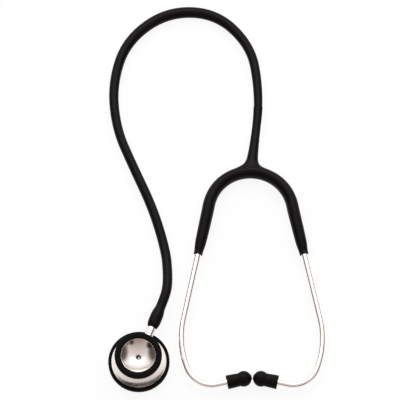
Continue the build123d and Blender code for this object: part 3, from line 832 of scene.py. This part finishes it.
# %% Ear tips
tip_outline = [(0, 3.1), (0, 5.1), (0.3, 5.4)]
tip_outline += [(3.0, 5.33), (6.0, 5.22), (8.5, 5.12)]
bulb_centre = tip_length - bulb_radius
bulb_start, bulb_end = asin(5.05 / bulb_radius), pi - asin(nub_radius / bulb_radius)
for i in range(17):
    angle = bulb_start + (bulb_end - bulb_start) * i / 16
    tip_outline.append((bulb_centre - bulb_radius * cos(angle), bulb_radius * sin(angle)))
tip_outline += [(19.35, 1.85), (19.35, 1.25), (8.03, 1.25), (8.03, 3.08)]
tip_outline += [(6.63, 3.63), (5.17, 3.63), (4.47, 3.08)]
for side, word in ((-1, "left"), (1, "right")):
    base = corner + tip_way * tip_base_reach
    aim = Matrix.Translation(base) @ Matrix.Rotation(radians(tip_heading), 4, "Z")
    place = headset @ Matrix.Scale(side, 4, (1, 0, 0)) @ aim
    tip = turned(tip_outline, 64)
    bmesh.ops.transform(tip, matrix=place, verts=tip.verts)
    bmesh.ops.recalc_face_normals(tip, faces=tip.faces)
    tip = finish_piece(tip, word + "_soft_tip", tip_pvc, None, 50)
    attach(tip, word + "_earpiece")
    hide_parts(word + "_ear_tip")
print("ear tips made")

# %% [markdown]
# ## Pieces that keep their CAD shape
# The diaphragm, the nut, the seal, the click stop and the beads are true to shape already. Each gets the
# finish of the real one.

# %% Finishes for the carried-over pieces
finishes = {
    "diaphragm": laminate,
    "stem_nut": polished_steel,
    "stem_seal": nitrile,
    "detent_ball": polished_steel,
    "detent_spring": spring_steel,
    "detent_screw": spring_steel,
    "left_tip_bead": hard_plastic,
    "right_tip_bead": hard_plastic,
}
for name, material in finishes.items():
    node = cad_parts[name]
    node.data.materials.clear()
    node.data.materials.append(material)
print("finished", len(finishes), "carried-over pieces")

# %% [markdown]
# ## Table and light
# The table is plain white. To the camera, and in reflections, it reads as pure white paper, with only a
# trace of the contact shadow. The light is a large soft box beyond the loop. The room is white on that
# side, greyer behind the photographer, and has darker walls to left and right with three dark
# patches, which the polished dish shows.

# %% Table
paper, tree, shader = new_material("white_table")
shader.inputs["Base Color"].default_value = linear("#f4f3f1")
shader.inputs["Roughness"].default_value = 0.8
path = add_node(tree, "ShaderNodeLightPath")
seen = add_node(
    tree,
    "ShaderNodeMath",
    {"operation": "MAXIMUM"},
    i0=path.outputs["Is Camera Ray"],
    i1=path.outputs["Is Glossy Ray"],
)
seen = add_node(tree, "ShaderNodeMath", {"operation": "MULTIPLY"}, i0=seen.outputs["Value"], i1=0.9)
glow = add_node(tree, "ShaderNodeEmission", Color=(1, 1, 1, 1), Strength=1.0)
mixed = add_node(
    tree,
    "ShaderNodeMixShader",
    i0=seen.outputs["Value"],
    i1=shader.outputs["BSDF"],
    i2=glow.outputs["Emission"],
)
output = [n for n in tree.nodes if n.type == "OUTPUT_MATERIAL"][0]
tree.links.new(mixed.outputs["Shader"], output.inputs["Surface"])
table_top = bmesh.new()
bmesh.ops.create_grid(table_top, x_segments=1, y_segments=1, size=6)
table_mesh = bpy.data.meshes.new("table_top")
bmesh.ops.translate(table_top, verts=table_top.verts, vec=(0, 0, -0.0002))
table_top.to_mesh(table_mesh)
table_top.free()
table_mesh.materials.append(paper)
table_top = bpy.data.objects.new("table_top", table_mesh)
scene.collection.objects.link(table_top)

# %% Room and lights
world = bpy.data.worlds.new("studio")
scene.world = world
world.use_nodes = True
tree = world.node_tree
tree.nodes.clear()
direction = add_node(tree, "ShaderNodeTexCoord").outputs["Generated"]
smoothed = {"interpolation_type": "SMOOTHSTEP"}


def patch(towards, inner, outer):
    """A soft round patch of the room: 1 within the inner angle of a direction, 0 past the outer."""
    middle = Vector(towards).normalized()
    aim = add_node(tree, "ShaderNodeVectorMath", {"operation": "DOT_PRODUCT"}, i0=direction, i1=middle)
    edge = add_node(tree, "ShaderNodeMapRange", smoothed, Value=aim.outputs["Value"])
    edge.inputs["From Min"].default_value = cos(radians(outer))
    edge.inputs["From Max"].default_value = cos(radians(inner))
    return edge.outputs["Result"]


def blended(factor, low, high):
    """Mix two colours, or two colour sockets, by a factor."""
    node = add_node(tree, "ShaderNodeMix", {"data_type": "RGBA"}, Factor=factor)
    for name, tone in (("A", low), ("B", high)):
        if isinstance(tone, bpy.types.NodeSocket):
            tree.links.new(tone, node.inputs[name])
        else:
            node.inputs[name].default_value = linear(tone)
    return node.outputs["Result"]


axes = add_node(tree, "ShaderNodeSeparateXYZ", Vector=direction)
along = add_node(tree, "ShaderNodeMapRange", Value=axes.outputs["Y"])
along.inputs["From Min"].default_value = -1
# The room's colour from the photographer's side, at 0, to the loop's side, at 1
room_bands = [(0.0, "#8f7c74"), (0.12, "#b9aaa6"), (0.3, "#d6cbca"), (0.47, "#e6dcdc"), (0.65, "#fffafa")]
bands = ramp(tree, along.outputs["Result"], room_bands)
aside = add_node(tree, "ShaderNodeMath", {"operation": "ABSOLUTE"}, i0=axes.outputs["X"])
walls = add_node(tree, "ShaderNodeMapRange", smoothed, Value=aside.outputs["Value"])
walls.inputs["From Min"].default_value = 0.68
walls.inputs["From Max"].default_value = 0.9
room = blended(walls.outputs["Result"], bands, "#5a4e4a")
dark_patches = [((-0.8, -0.5, 0.38), 5, 17), ((0.47, -0.76, 0.45), 5, 14), ((0.72, -0.6, 0.35), 2, 8)]
for towards, inner, outer in dark_patches:
    room = blended(patch(towards, inner, outer), room, "#1d1513")
sky = add_node(tree, "ShaderNodeBackground", Color=room, Strength=1.1)
white = add_node(tree, "ShaderNodeBackground", Color=(1, 1, 1, 1), Strength=1.0)
path = add_node(tree, "ShaderNodeLightPath")
both = add_node(
    tree,
    "ShaderNodeMixShader",
    i0=path.outputs["Is Camera Ray"],
    i1=sky.outputs["Background"],
    i2=white.outputs["Background"],
)
add_node(tree, "ShaderNodeOutputWorld", Surface=both.outputs["Shader"])

softbox = bpy.data.lights.new("softbox", "AREA")
softbox.shape = "RECTANGLE"
softbox.size = 2.0
softbox.size_y = 1.0
softbox.energy = 14
softbox_object = bpy.data.objects.new("softbox", softbox)
softbox_object.location = (0.05, 1.0, 1.15)
light_way = Vector((0.05, 0.15, 0)) - softbox_object.location
softbox_object.rotation_euler = light_way.to_track_quat("-Z", "Y").to_euler()
scene.collection.objects.link(softbox_object)
print("lit")

# %% Final update
bpy.context.view_layer.update()
